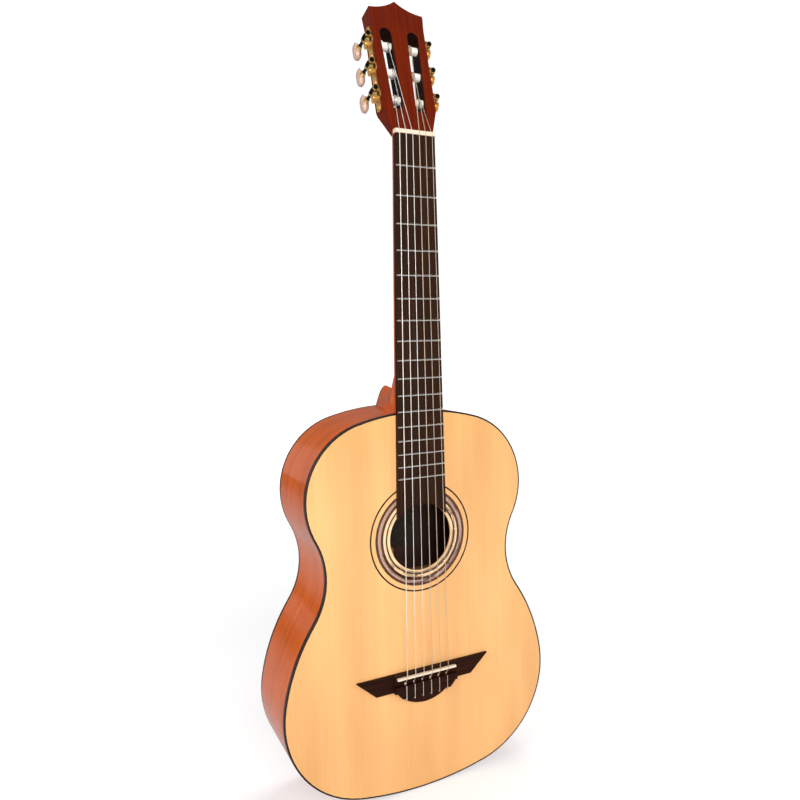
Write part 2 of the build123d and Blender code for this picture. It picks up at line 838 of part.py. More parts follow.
with BuildPart() as gear:
    with BuildSketch():
        Circle(root_radius)
        with PolarLocations(0, gear_teeth, start_angle=180 / gear_teeth):
            add(tooth.sketch)
    extrude(amount=gear_width)

for side, plate_name in ((-1, "tuner_plate_bass"), (1, "tuner_plate_treble")):
    with BuildPart() as plate:
        with BuildSketch(axle_plane(side, head_half_width, 0, 0)):
            low, high = plate_ends
            with Locations(((low + high) / 2, -side * plate_middle)):
                SlotOverall(high - low, 2 * strap_half_width)
            lobes = [(station + lobe_lift, -side * plate_middle) for station in roller_stations]
            with Locations(lobes):
                Circle(plate_lobe_radius)
            holes = [(station, -side * roller_depth) for station in roller_stations]
            with Locations(holes):
                Circle(gear_pin[0] + running_clearance, mode=Mode.SUBTRACT)
            with Locations([(station, -side * plate_middle) for station in screw_stations]):
                Circle(screw[0], mode=Mode.SUBTRACT)
        extrude(amount=plate_thickness)
        for station in roller_stations:
            worm_u = station + worm_lift
            for lug_low in (lug_inner, -lug_inner - lug_thickness):
                with BuildSketch(head_plane.offset(lug_low - roller_depth)):
                    with Locations((side * (plate_outer_x + worm_x) / 2, worm_u)):
                        Rectangle(worm_x - plate_outer_x, 2 * lug_half_width)
                    with Locations((side * worm_x, worm_u)):
                        Circle(lug_half_width)
                        Circle(shaft_radius + running_clearance, mode=Mode.SUBTRACT)
                extrude(amount=lug_thickness)
    plate.part.label = plate_name
    export_step(plate.part, f"parts/{plate_name}.step")

for number in string_numbers:
    side, index = roller_of(number)
    station = roller_stations[index]
    inner_edge, outer_edge = slot_walls(station)
    roller_inner = inner_edge + roller_gap
    roller_outer = outer_edge - roller_gap
    journal_end = head_half_width - lug_gap
    anchor = axle_plane(side, anchor_xs[index], station)
    with BuildPart() as roller:
        add(rod(axle_plane(side, roller_inner, station), roller_radius, roller_outer - roller_inner))
        inner_end = roller_inner - inner_journal[1]
        add(rod(axle_plane(side, inner_end, station), inner_journal[0], inner_journal[1]))
        outer_plane = axle_plane(side, roller_outer, station)
        add(rod(outer_plane, outer_journal_radius, journal_end - roller_outer))
        pin_plane = axle_plane(side, journal_end - gear_pin[1], station)
        add(rod(pin_plane, gear_pin[0], gear_pin[1]), mode=Mode.SUBTRACT)
        cord_hole = Plane(origin=anchor.origin - face_out * roller_radius, z_dir=face_out)
        add(rod(cord_hole, cord_hole_radius, 2 * roller_radius), mode=Mode.SUBTRACT)
    roller.part.label = f"roller_{number}"
    export_step(roller.part, f"parts/roller_{number}.step")

    with BuildPart() as drive_gear:
        with Locations(axle_plane(side, gear_inner_x, station)):
            add(gear.part)
        hub_plane = axle_plane(side, plate_outer_x + lug_gap, station)
        add(rod(hub_plane, gear_hub_radius, gear_inner_x - plate_outer_x - lug_gap))
        add(rod(pin_plane, gear_pin[0], gear_inner_x - journal_end + gear_pin[1]))
        screw_hole = axle_plane(side, plate_outer_x, station)
        add(rod(screw_hole, gear_screw[0], worm_x + gear_width), mode=Mode.SUBTRACT)
    with BuildPart() as gear_bolt:
        head_base = axle_plane(side, gear_inner_x + gear_width, station)
        add(rod(screw_hole, gear_screw[0], gear_inner_x + gear_width - plate_outer_x))
        add(rod(head_base, gear_screw[1], gear_screw[2]))
        with Locations(axle_plane(side, gear_inner_x + gear_width + gear_screw[2], station)):
            Box(screw_slot_width, 2 * gear_screw[1], gear_screw[2], mode=Mode.SUBTRACT)
    gear_group = Compound(
        label=f"gear_{number}", children=[drive_gear.part.solid(), gear_bolt.part.solid()]
    )
    export_step(gear_group, f"parts/gear_{number}.step")

    worm_axis = head_plane.from_local_coords(Vector(side * worm_x, station + worm_lift, 0))
    shaft_front = -roller_depth + lug_inner + lug_thickness + lug_gap
    button_front = button_size[2] - button_rear
    shaft_end = button_front - shaft_inside_button
    with BuildPart() as worm_shaft:
        thread_origin = worm_axis - face_out * (roller_depth + worm_half_length)
        with Locations(Plane(origin=thread_origin, x_dir=face_up, z_dir=face_out)):
            add(worm.part)
        whole_shaft = Plane(origin=worm_axis + face_out * shaft_end, z_dir=face_out)
        add(rod(whole_shaft, shaft_radius, shaft_front - shaft_end))
        collar_plane = Plane(origin=worm_axis + face_out * shaft_front, z_dir=face_out)
        add(rod(collar_plane, collar[0], collar[1]))
    worm_shaft.part.label = f"worm_shaft_{number}"
    export_step(worm_shaft.part, f"parts/worm_shaft_{number}.step")

    with BuildPart() as grip:
        button_middle = button_rear - button_size[2] / 2
        with BuildSketch(axle_plane(side, worm_x, station + worm_lift, button_middle)):
            Ellipse(button_size[1] / 2, button_size[2] / 2)
        extrude(amount=button_size[0] / 2, both=True)
        fillet(grip.edges(), radius=button_rounding)
        add(rod(whole_shaft, shaft_radius, shaft_front - shaft_end), mode=Mode.SUBTRACT)
    with BuildPart() as sleeve:
        ferrule_plane = Plane(origin=worm_axis + face_out * button_front, z_dir=face_out)
        add(rod(ferrule_plane, ferrule[0], ferrule[1]))
        add(rod(ferrule_plane, shaft_radius, ferrule[1]), mode=Mode.SUBTRACT)
    button_group = Compound(
        label=f"button_{number}", children=[grip.part.solid(), sleeve.part.solid()]
    )
    export_step(button_group, f"parts/button_{number}.step")

screws = []
for side in (-1, 1):
    for station in screw_stations:
        with BuildPart() as plate_screw:
            shank_base = axle_plane(side, head_half_width - screw[3], station, plate_middle)
            head_base = axle_plane(side, plate_outer_x, station, plate_middle)
            add(rod(shank_base, screw[0], screw[3] + plate_thickness))
            add(rod(head_base, screw[1], screw[2]))
            with Locations(axle_plane(side, plate_outer_x + screw[2], station, plate_middle)):
                Box(2 * screw[1], screw_slot_width, screw[2], mode=Mode.SUBTRACT)
        screws.append(plate_screw.part.solid())
plate_screws = Compound(label="plate_screws", children=screws)
export_step(plate_screws, "parts/plate_screws.step")
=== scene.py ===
import json
import math

import bmesh
import bpy
from mathutils import Euler, Matrix, Vector

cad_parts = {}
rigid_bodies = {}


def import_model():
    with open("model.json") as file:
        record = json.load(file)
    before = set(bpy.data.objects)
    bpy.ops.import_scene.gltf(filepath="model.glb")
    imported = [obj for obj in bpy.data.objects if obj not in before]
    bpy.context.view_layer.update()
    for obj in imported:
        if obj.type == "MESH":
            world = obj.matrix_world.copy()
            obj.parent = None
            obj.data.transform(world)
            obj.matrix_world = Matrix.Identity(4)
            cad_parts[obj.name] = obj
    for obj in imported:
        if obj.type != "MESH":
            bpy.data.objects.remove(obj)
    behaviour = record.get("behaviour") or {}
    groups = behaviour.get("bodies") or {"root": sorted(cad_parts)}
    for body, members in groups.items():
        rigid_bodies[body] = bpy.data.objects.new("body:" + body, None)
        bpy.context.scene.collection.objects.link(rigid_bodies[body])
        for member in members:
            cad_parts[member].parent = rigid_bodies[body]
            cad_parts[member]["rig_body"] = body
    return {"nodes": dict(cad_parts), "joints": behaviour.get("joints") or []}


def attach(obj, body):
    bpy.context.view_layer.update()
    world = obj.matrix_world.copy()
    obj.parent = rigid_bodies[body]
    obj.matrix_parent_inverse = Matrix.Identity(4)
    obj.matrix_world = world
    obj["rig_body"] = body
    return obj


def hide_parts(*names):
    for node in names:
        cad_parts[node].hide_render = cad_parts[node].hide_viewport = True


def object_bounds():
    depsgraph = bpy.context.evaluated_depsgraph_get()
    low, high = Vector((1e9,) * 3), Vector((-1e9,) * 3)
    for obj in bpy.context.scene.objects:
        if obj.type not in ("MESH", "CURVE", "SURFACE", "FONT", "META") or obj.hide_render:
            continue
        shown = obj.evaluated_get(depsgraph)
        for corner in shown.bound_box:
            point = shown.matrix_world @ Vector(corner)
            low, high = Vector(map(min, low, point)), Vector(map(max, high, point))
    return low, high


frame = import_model()
cad_low, cad_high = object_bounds()

bl_info = {
    "name": "Classical guitar",
    "version": (1, 0, 0),
    "blender": (4, 5, 0),
    "location": "View3D > Sidebar > Guitar",
    "description": "Builds a classical guitar's visible pieces around its packed frame",
    "category": "Object",
}

MM = 0.001
HOLE_Z = -0.482
MOSAIC_RADIUS = 0.0567
# thickness, width and height of a button, and its places along the shaft from the worm's middle
BUTTON_SIZE = (0.009, 0.022, 0.014)
BUTTON_MIDDLE = -0.028
BUTTON_FRONT = -0.021
# step along the shaft and radius of each turn of the ferrule, in millimetres, from inside out
FERRULE_PROFILE = (
    (-1.0, 2.05), (-1.0, 3.3), (0.8, 3.3), (1.1, 2.9), (1.5, 3.2), (2.3, 3.2), (3.4, 2.6),
    (4.0, 2.5), (4.0, 2.05), (-1.0, 2.05),
)
# head's frame: x across, y up its face, z out of its back
HEAD_ORIGIN = Vector((0.0, -0.0015, 0.005))
HEAD_TURN = Matrix.Rotation(math.radians(-75), 3, "X")
SLOT_LOW = 0.024
SLOT_HIGH = 0.133
SLOT_REACH = 0.0275
STATIONS = (1, 2, 3, 4, 5, 6)


def linear(code):
    """Turns an sRGB hex colour into linear red, green and blue."""
    channels = [int(code[place:place + 2], 16) / 255 for place in (0, 2, 4)]
    return tuple(c / 12.92 if c <= 0.04045 else ((c + 0.055) / 1.055) ** 2.4 for c in channels)


def colour(label, code, use):
    """Colour property that starts from an sRGB hex value."""
    return bpy.props.FloatVectorProperty(
        name=label, description=use, default=linear(code), subtype="COLOR", size=3, min=0, max=1
    )


def length(label, millimetres, use):
    """Length property that starts from a size in millimetres."""
    return bpy.props.FloatProperty(
        name=label, description=use, default=millimetres * MM, min=0, unit="LENGTH", precision=5
    )


class GuitarSizes(bpy.types.PropertyGroup):
    """Sizes that a maker would change."""

    wood_edge: length("Wood edge", 0.7, "Rounding of the body's and head's wooden edges")
    fine_edge: length("Fine edge", 0.25, "Rounding of nut, saddle, frets and bindings")
    metal_edge: length("Metal edge", 0.12, "Rounding of the tuners' metal edges")
    spruce_grain: length("Spruce grain", 2.6, "Spacing of the soundboard's year lines")
    mahogany_grain: length("Mahogany grain", 3.2, "Width of a streak in the sides and neck")
    winding_pitch: length("Winding pitch", 0.8, "Spacing of the turns on a wound string")
    camera_place: bpy.props.FloatVectorProperty(
        name="Camera place", description="Where the camera stands", subtype="XYZ", unit="LENGTH",
        default=(-0.3936, -0.7532, -0.2366),
    )
    camera_turn: bpy.props.FloatVectorProperty(
        name="Camera turn", description="How the camera is turned", subtype="EULER", unit="ROTATION",
        default=tuple(math.radians(a) for a in (84.938, 1.275, -26.210)),
    )
    lens: bpy.props.FloatProperty(
        name="Lens", description="Focal length in millimetres", default=31.526, min=10
    )


class GuitarColours(bpy.types.PropertyGroup):
    """Colours of the finishes."""

    spruce_light: colour("Spruce, light", "F8C180", "Early wood between the year lines")
    spruce_dark: colour("Spruce, dark", "F0AF6A", "Late wood in the year lines")
    mahogany_light: colour("Mahogany, light", "EC731F", "Lit streaks of the sides")
    mahogany_dark: colour("Mahogany, dark", "C24A0C", "Deep streaks of the sides")
    veneer_light: colour("Head veneer, light", "7A2202", "Streaks of the head's face")
    veneer_dark: colour("Head veneer, dark", "581602", "Ground of the head's face")
    rosewood_light: colour("Rosewood, light", "38180A", "Streaks of the bridge")
    rosewood_dark: colour("Rosewood, dark", "120602", "Ground of the bridge")
    board_light: colour("Fingerboard, light", "3C200F", "Streaks of the fingerboard")
    board_dark: colour("Fingerboard, dark", "1A0E08", "Ground of the fingerboard")
    binding: colour("Binding", "170C08", "Dark edging of the body")
    ring_pale: colour("Rosette, pale", "F4CA9C", "Pale rings of the rosette")
    ring_dark: colour("Rosette, dark", "140A07", "Dark lines of the rosette")
    ring_brown: colour("Rosette, brown", "381A0C", "Dark tiles of the side bands")
    ring_tan: colour("Rosette, tan", "6C3B20", "Light tiles of the side bands")
    mosaic_light: colour("Mosaic, light", "D4B4A2", "Light tiles of the middle band")
    mosaic_dark: colour("Mosaic, dark", "80594A", "Dark tiles of the middle band")
    bone: colour("Bone", "EFD9C0", "Nut and saddle")
    gold: colour("Gold plate", "F6CC80", "Tuner plates, gears and ferrules")
    silver: colour("Silver winding", "F4F0E8", "Wound strings")
    fret: colour("Nickel silver", "FFF4E0", "Frets")
    nylon: colour("Nylon", "D2BFA8", "Treble strings")
    pearl_light: colour("Pearl, light", "D6B7A4", "Bright flakes of the buttons")
    pearl_dark: colour("Pearl, dark", "B98D78", "Shaded flakes of the buttons")
    roller: colour("Roller", "EEDCC8", "Cream rollers")
    steel: colour("Dark steel", "2A2624", "Worm shafts")
    lining_light: colour("Lining, light", "D9A468", "Cedar inside the body")
    lining_dark: colour("Lining, dark", "8F5A2E", "Streaks of the inside wood")
    # painted shade: the back's inner face is coloured dark for the shade inside the body
    inside_shade_pale: colour("Inside, light", "4A2414", "Bare inner face of the back")
    inside_shade_deep: colour("Inside, dark", "24100A", "Streaks of the back's inner face")
    # painted shade: the slots' walls are coloured dark for the shade inside them
    painted_slot_wall_shade: colour("Slot, dark", "260D05", "Shaded walls of the head's slots")
    # painted shade: the label's paper is coloured dark for the shade inside the body
    paper: colour("Paper", "2E241A", "Aged blank label inside the body")
    floor: colour("Floor", "CDCDCD", "Studio floor")


def add_node(tree, kind, values=None, stops=None, **settings):
    """Adds one node with its settings, its socket values or links, and its ramp's stops."""
    made = tree.nodes.new(kind)
    for name, value in settings.items():
        setattr(made, name, value)
    for socket, value in (values or {}).items():
        if isinstance(value, bpy.types.NodeSocket):
            tree.links.new(value, made.inputs[socket])
        else:
            made.inputs[socket].default_value = value
    if stops:
        ramp = made.color_ramp.elements
        while len(ramp) < len(stops):
            ramp.new(1.0)
        for element, (place, tone) in zip(ramp, stops):
            element.position = place
            element.color = (*tone, 1.0)
    return made


def blank_finish(name):
    """New material with its tree, its surface shader and its object coordinates."""
    material = bpy.data.materials.new(name)
    material.use_nodes = True
    tree = material.node_tree
    shader = tree.nodes["Principled BSDF"]
    place = add_node(tree, "ShaderNodeTexCoord").outputs["Object"]
    return material, tree, shader, place


def set_shader(shader, **values):
    """Sets a shader's plain numbers and colours, named with _ for spaces."""
    for name, value in values.items():
        socket = shader.inputs[name.replace("_", " ")]
        socket.default_value = (*value, 1.0) if isinstance(value, tuple) else value


def cells(*millimetres):
    """Pattern scale along x, y and z from the cell's size in millimetres."""
    return [1000 / size for size in millimetres]


def wood(name, dark, light, grain, broad, pores, depth, gloss, contrast=0.5, bump=0.0002):
    """Wood cut along its grain: streaks, slow changes of tone and small dark pores."""
    material, tree, shader, place = blank_finish(name)
    streak_map = add_node(tree, "ShaderNodeMapping", {"Vector": place, "Scale": cells(*grain)})
    streaks = add_node(
        tree, "ShaderNodeTexNoise",
        {"Vector": streak_map.outputs[0], "Scale": 1.0, "Detail": 4.0, "Roughness": 0.6,
         "Distortion": 0.3},
    )
    half = contrast / 2
    tone = add_node(
        tree, "ShaderNodeValToRGB", {"Fac": streaks.outputs[0]},
        stops=[(0.5 - half, dark), (0.5 + half, light)],
    )
    broad_map = add_node(tree, "ShaderNodeMapping", {"Vector": place, "Scale": cells(*broad)})
    clouds = add_node(
        tree, "ShaderNodeTexNoise", {"Vector": broad_map.outputs[0], "Scale": 1.0, "Detail": 2.0}
    )
    cloud_tone = add_node(
        tree, "ShaderNodeValToRGB", {"Fac": clouds.outputs[0]},
        stops=[(0.3, (0.80, 0.76, 0.72)), (0.7, (1.0, 1.0, 1.0))],
    )
    varied = add_node(
        tree, "ShaderNodeMix", {0: 1.0, 6: tone.outputs[0], 7: cloud_tone.outputs[0]},
        data_type="RGBA", blend_type="MULTIPLY",
    )
    pore_map = add_node(tree, "ShaderNodeMapping", {"Vector": place, "Scale": cells(*pores)})
    pore_noise = add_node(
        tree, "ShaderNodeTexNoise", {"Vector": pore_map.outputs[0], "Scale": 1.0, "Detail": 1.0}
    )
    pore_mask = add_node(
        tree, "ShaderNodeMapRange",
        {"Value": pore_noise.outputs[0], "From Min": 0.60, "From Max": 0.72, "To Max": depth},
    )
    finished = add_node(
        tree, "ShaderNodeMix",
        {0: pore_mask.outputs[0], 6: varied.outputs[2], 7: (*[c * 0.4 for c in dark], 1.0)},
        data_type="RGBA",
    )
    tree.links.new(finished.outputs[2], shader.inputs["Base Color"])
    sheen = add_node(
        tree, "ShaderNodeMapRange",
        {"Value": streaks.outputs[0], "From Min": 0.3, "From Max": 0.7,
         "To Min": gloss + 0.06, "To Max": gloss},
    )
    tree.links.new(sheen.outputs[0], shader.inputs["Roughness"])
    relief = add_node(
        tree, "ShaderNodeBump",
        {"Height": streaks.outputs[0], "Strength": 0.15, "Distance": bump},
    )
    tree.links.new(relief.outputs[0], shader.inputs["Normal"])
    return material, tree, shader


def spruce_top(sizes, tones):
    """Quartersawn spruce under gloss lacquer: fine upright year lines and a deep clear shine."""
    line = sizes.spruce_grain / MM
    material, tree, shader = wood(
        "spruce_gloss_lacquer", tuple(tones.spruce_dark), tuple(tones.spruce_light),
        grain=(line, 400.0, 260.0), broad=(70.0, 400.0, 320.0), pores=(1.0, 400.0, 40.0),
        depth=0.10, gloss=0.22, contrast=0.9, bump=0.00005,
    )
    set_shader(shader, Coat_Weight=0.35, Coat_Roughness=0.08, IOR=1.45)
    return material


def mahogany(name, sizes, tones, along):
    """Stained mahogany under gloss lacquer: red-brown ribbons that run along the given axis."""
    streak = sizes.mahogany_grain / MM
    run = {"x": (260.0, streak, streak), "z": (streak, streak, 260.0), "round": (160.0, streak, 160.0)}
    pore = {"x": (14.0, 0.9, 0.9), "z": (0.9, 0.9, 14.0), "round": (14.0, 0.9, 14.0)}
    material, tree, shader = wood(
        name, tuple(tones.mahogany_dark), tuple(tones.mahogany_light),
        grain=run[along], broad=(60.0, 40.0, 90.0), pores=pore[along],
        depth=0.35, gloss=0.16, contrast=0.6, bump=0.00005,
    )
    set_shader(shader, Specular_IOR_Level=0.2, Coat_Weight=0.35, Coat_Roughness=0.08)
    return material


def rosette_inlay(tones):
    """Dyed wood rings with a band of tiny tiles, levelled with the top and lacquered over."""
    material, tree, shader, place = blank_finish("rosette_inlaid_wood")
    centred = add_node(
        tree, "ShaderNodeMapping", {"Vector": place, "Location": (0.0, 0.0, -HOLE_Z)}
    )
    flat = add_node(tree, "ShaderNodeSeparateXYZ", {"Vector": centred.outputs[0]})
    arm = add_node(
        tree, "ShaderNodeCombineXYZ", {"X": flat.outputs["X"], "Y": flat.outputs["Z"]}
    )
    radius = add_node(
        tree, "ShaderNodeVectorMath", {0: arm.outputs[0]}, operation="LENGTH"
    ).outputs["Value"]
    inner, outer = 40.0 * MM, 70.0 * MM
    share = add_node(
        tree, "ShaderNodeMapRange", {"Value": radius, "From Min": inner, "From Max": outer}
    )
    pale, dark = tuple(tones.ring_pale), tuple(tones.ring_dark)
    rings = [
        (40.0, pale), (46.2, dark), (47.8, pale), (51.4, dark), (52.0, pale), (61.2, dark),
        (61.9, pale), (67.0, dark),
    ]
    bands = add_node(
        tree, "ShaderNodeValToRGB", {"Fac": share.outputs[0]},
        stops=[((r * MM - inner) / (outer - inner), tone) for r, tone in rings],
    )
    bands.color_ramp.interpolation = "CONSTANT"
    angle = add_node(
        tree, "ShaderNodeMath", {0: flat.outputs["Z"], 1: flat.outputs["X"]}, operation="ARCTAN2"
    )
    # tiles of 1.2 mm stand for the real bands' threads, so that they still show
    tile = 1.2 * MM
    tile_round = add_node(
        tree, "ShaderNodeMath", {0: angle.outputs[0], 1: MOSAIC_RADIUS / tile}, operation="MULTIPLY"
    )
    tile_across = add_node(tree, "ShaderNodeMath", {0: radius, 1: 1 / tile}, operation="MULTIPLY")
    tile_place = add_node(
        tree, "ShaderNodeCombineXYZ", {"X": tile_round.outputs[0], "Y": tile_across.outputs[0]}
    )
    mixed = bands.outputs[0]
    # inner and outer radius of each tiled band, with its two tones
    for low, high, light, deep in (
        (52.0, 61.2, tones.ring_tan, tones.ring_brown),
        (54.8, 58.6, tones.mosaic_light, tones.mosaic_dark),
    ):
        tiles = add_node(
            tree, "ShaderNodeTexChecker",
            {"Vector": tile_place.outputs[0], "Scale": 1.0, "Color1": (*light, 1.0),
             "Color2": (*deep, 1.0)},
        )
        above = add_node(
            tree, "ShaderNodeMath", {0: radius, 1: low * MM}, operation="GREATER_THAN"
        )
        below = add_node(tree, "ShaderNodeMath", {0: radius, 1: high * MM}, operation="LESS_THAN")
        band = add_node(
            tree, "ShaderNodeMath", {0: above.outputs[0], 1: below.outputs[0]},
            operation="MULTIPLY",
        )
        mixed = add_node(
            tree, "ShaderNodeMix", {0: band.outputs[0], 6: mixed, 7: tiles.outputs[0]},
            data_type="RGBA",
        ).outputs[2]
    tree.links.new(mixed, shader.inputs["Base Color"])
    set_shader(shader, Roughness=0.3, Specular_IOR_Level=0.3, Coat_Weight=0.2, Coat_Roughness=0.08)
    return material


def speckled(name, tone, cell, spread, **values):
    """Moulded, cast or polished stuff whose tone and roughness change a little in small clouds."""
    material, tree, shader, place = blank_finish(name)
    mapping = add_node(tree, "ShaderNodeMapping", {"Vector": place, "Scale": cells(*cell)})
    noise = add_node(
        tree, "ShaderNodeTexNoise", {"Vector": mapping.outputs[0], "Scale": 1.0, "Detail": 3.0}
    )
    tone_ramp = add_node(
        tree, "ShaderNodeValToRGB", {"Fac": noise.outputs[0]},
        stops=[(0.3, tuple(c * (1 - spread) for c in tone)), (0.7, tuple(tone))],
    )
    tree.links.new(tone_ramp.outputs[0], shader.inputs["Base Color"])
    rough = values.pop("Roughness", 0.3)
    roughness = add_node(
        tree, "ShaderNodeMapRange",
        {"Value": noise.outputs[0], "From Min": 0.3, "From Max": 0.7,
         "To Min": rough * 1.25, "To Max": rough * 0.8},
    )
    tree.links.new(roughness.outputs[0], shader.inputs["Roughness"])
    set_shader(shader, **values)
    return material


def wound_silver(sizes, tones):
    """Silvered wire wound on a floss core: bright rings across the string, with painted shade between
    the turns.
    """
    material, tree, shader, place = blank_finish("silvered_winding")
    # the real turns are 0.2 mm apart, and are drawn coarser so that they show
    turns = add_node(
        tree, "ShaderNodeTexWave",
        {"Vector": place, "Scale": math.pi / 10 / sizes.winding_pitch},
        bands_direction="Z",
    )
    # painted shade: the silver darkens to 0.7 between the turns, where the grooves fall in shade
    tone = add_node(
        tree, "ShaderNodeValToRGB", {"Fac": turns.outputs[1]},
        stops=[(0.0, tuple(c * 0.7 for c in tones.silver)), (0.5, tuple(tones.silver))],
    )
    tree.links.new(tone.outputs[0], shader.inputs["Base Color"])
    relief = add_node(
        tree, "ShaderNodeBump", {"Height": turns.outputs[1], "Strength": 0.6, "Distance": 0.1 * MM}
    )
    tree.links.new(relief.outputs[0], shader.inputs["Normal"])
    set_shader(shader, Metallic=1.0, Roughness=0.4)
    return material


def pearloid(tones):
    """Cast pearl plastic: folded clouds of cream and rose under a polished skin."""
    material, tree, shader, place = blank_finish("pearloid_plastic")
    mapping = add_node(tree, "ShaderNodeMapping", {"Vector": place, "Scale": cells(7.0, 7.0, 5.0)})
    swirl = add_node(
        tree, "ShaderNodeTexNoise",
        {"Vector": mapping.outputs[0], "Scale": 1.0, "Detail": 3.0, "Distortion": 2.5},
    )
    tone = add_node(
        tree, "ShaderNodeValToRGB", {"Fac": swirl.outputs[0]},
        stops=[(0.3, tuple(tones.pearl_dark)), (0.6, tuple(tones.pearl_light))],
    )
    tree.links.new(tone.outputs[0], shader.inputs["Base Color"])
    set_shader(
        shader, Roughness=0.22, Coat_Weight=1.0, Coat_Roughness=0.05,
        Subsurface_Weight=0.15, Subsurface_Scale=0.002,
    )
    return material


def finish_named(name):
    """The scene's one material of each finish, made when it is first asked for."""
    if name in bpy.data.materials:
        return bpy.data.materials[name]
    sizes = bpy.context.scene.guitar_sizes
    tones = bpy.context.scene.guitar_colours
    if name == "spruce_gloss_lacquer":
        return spruce_top(sizes, tones)
    if name == "mahogany_sides":
        return mahogany(name, sizes, tones, "round")
    if name in ("mahogany_neck", "mahogany_back"):
        return mahogany(name, sizes, tones, "z")
    if name == "rosette_inlaid_wood":
        return rosette_inlay(tones)
    if name == "silvered_winding":
        return wound_silver(sizes, tones)
    if name == "pearloid_plastic":
        return pearloid(tones)
    if name == "head_veneer_stained":
        # red-brown stain with faint upright streaks under a thin gloss coat
        material, tree, shader = wood(
            name, tuple(tones.veneer_dark), tuple(tones.veneer_light), grain=(3.0, 40.0, 200.0),
            broad=(40.0, 60.0, 120.0), pores=(0.8, 10.0, 12.0), depth=0.3, gloss=0.18,
        )
        set_shader(shader, Specular_IOR_Level=0.15, Coat_Weight=0.2, Coat_Roughness=0.06)
        return material
    if name == "mahogany_head_edge":
        # the head's sawn edges drink more stain than its face
        material, tree, shader = wood(
            name, tuple(tones.veneer_dark), tuple(tones.veneer_light), grain=(3.0, 3.0, 120.0),
            broad=(40.0, 40.0, 120.0), pores=(0.8, 0.8, 12.0), depth=0.3, gloss=0.45,
        )
        set_shader(shader, Specular_IOR_Level=0.1)
        return material
    if name == "slot_wall_painted_shade":
        # painted shade: the walls inside the slots are coloured dark for the shade that falls in them
        return speckled(
            name, tones.painted_slot_wall_shade, (2.0, 2.0, 6.0), 0.4, Roughness=0.6, Specular_IOR_Level=0.1
        )
    if name == "rosewood_oiled":
        # open pores run along the bridge and give dull, dark flecks
        material, tree, shader = wood(
            name, tuple(tones.rosewood_dark), tuple(tones.rosewood_light), grain=(160.0, 2.4, 2.4),
            broad=(120.0, 20.0, 20.0), pores=(9.0, 0.8, 0.8), depth=0.6, gloss=0.38,
        )
        set_shader(shader, Specular_IOR_Level=0.08)
        return material
    if name == "fingerboard_rosewood":
        # nearly black brown that hands keep matt, with short pores along the neck
        material, tree, shader = wood(
            name, tuple(tones.board_dark), tuple(tones.board_light), grain=(2.2, 6.0, 160.0),
            broad=(20.0, 20.0, 150.0), pores=(0.8, 3.0, 9.0), depth=0.6, gloss=0.45,
        )
        set_shader(shader, Specular_IOR_Level=0.08)
        return material
    if name == "mahogany_inside_painted_shade":
        # unlacquered wood coloured nearly black: painted shade for the inside of the sound box
        material, tree, shader = wood(
            name, tuple(tones.inside_shade_deep), tuple(tones.inside_shade_pale), grain=(4.0, 4.0, 200.0),
            broad=(60.0, 60.0, 200.0), pores=(1.0, 1.0, 14.0), depth=0.3, gloss=0.7,
        )
        return material
    if name == "binding_stained":
        # black-brown edging that hides its own grain and takes a thin line of light
        return speckled(
            name, tones.binding, (30.0, 2.0, 30.0), 0.4, Roughness=0.35, Specular_IOR_Level=0.3,
            Coat_Weight=0.2, Coat_Roughness=0.1,
        )
    if name == "inside_cedar":
        # raw honey-coloured wood without any shine
        material, tree, shader = wood(
            name, tuple(tones.lining_dark), tuple(tones.lining_light), grain=(5.0, 5.0, 120.0),
            broad=(60.0, 60.0, 200.0), pores=(1.0, 1.0, 14.0), depth=0.3, gloss=0.6,
        )
        return material
    if name == "bone_polished":
        # warm white with faint clouds and a soft polish
        return speckled(name, tones.bone, (3.0, 3.0, 3.0), 0.12, Roughness=0.28, IOR=1.55)
    if name == "gold_plated_brass":
        # yellow plate, a little uneven, that blurs what it mirrors
        return speckled(
            name, tones.gold, (0.6, 6.0, 6.0), 0.12, Metallic=1.0, Roughness=0.34,
        )
    if name == "nickel_silver":
        # frets filed and rubbed, so that they glow more than they mirror
        return speckled(name, tones.fret, (2.0, 0.4, 0.4), 0.06, Metallic=1.0, Roughness=0.5)
    if name == "clear_nylon":
        # milky clear cord that takes the tone of what is behind it
        return speckled(
            name, tones.nylon, (4.0, 4.0, 30.0), 0.05, Roughness=0.16, IOR=1.53,
            Transmission_Weight=0.35,
        )
    if name == "roller_plastic":
        # cream plastic with a dull shine
        return speckled(name, tones.roller, (4.0, 4.0, 4.0), 0.08, Roughness=0.3)
    if name == "blackened_steel":
        # oiled dark shafts with small bright edges
        return speckled(name, tones.steel, (1.5, 1.5, 1.5), 0.3, Metallic=1.0, Roughness=0.32)
    if name == "label_painted_shade":
        # paper coloured dark brown as painted shade inside the body, without shine
        return speckled(name, tones.paper, (2.0, 2.0, 2.0), 0.1, Roughness=0.9)
    raise RuntimeError(f"there is no finish named {name}")


def drop_attributes(mesh):
    """Removes the copied normals, which no longer fit once the mesh is merged."""
    for attribute in [a for a in mesh.attributes if a.name == "custom_normal"]:
        mesh.attributes.remove(attribute)


def finished_copy(node, name, finish, edge=0.0, smooth=32.0):
    """Merged copy of a frame node with smooth curves, soft edges and one finish."""
    source = frame["nodes"][node]
    mesh = source.data.copy()
    drop_attributes(mesh)
    shape = bmesh.new()
    shape.from_mesh(mesh)
    bmesh.ops.remove_doubles(shape, verts=shape.verts, dist=0.002 * MM)
    bmesh.ops.dissolve_degenerate(shape, edges=shape.edges, dist=0.001 * MM)
    bmesh.ops.dissolve_limit(
        shape, angle_limit=math.radians(0.3), verts=shape.verts, edges=shape.edges
    )
    bmesh.ops.recalc_face_normals(shape, faces=shape.faces)
    shape.to_mesh(mesh)
    shape.free()
    return placed(mesh, name, finish, source["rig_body"], [node], edge, smooth)


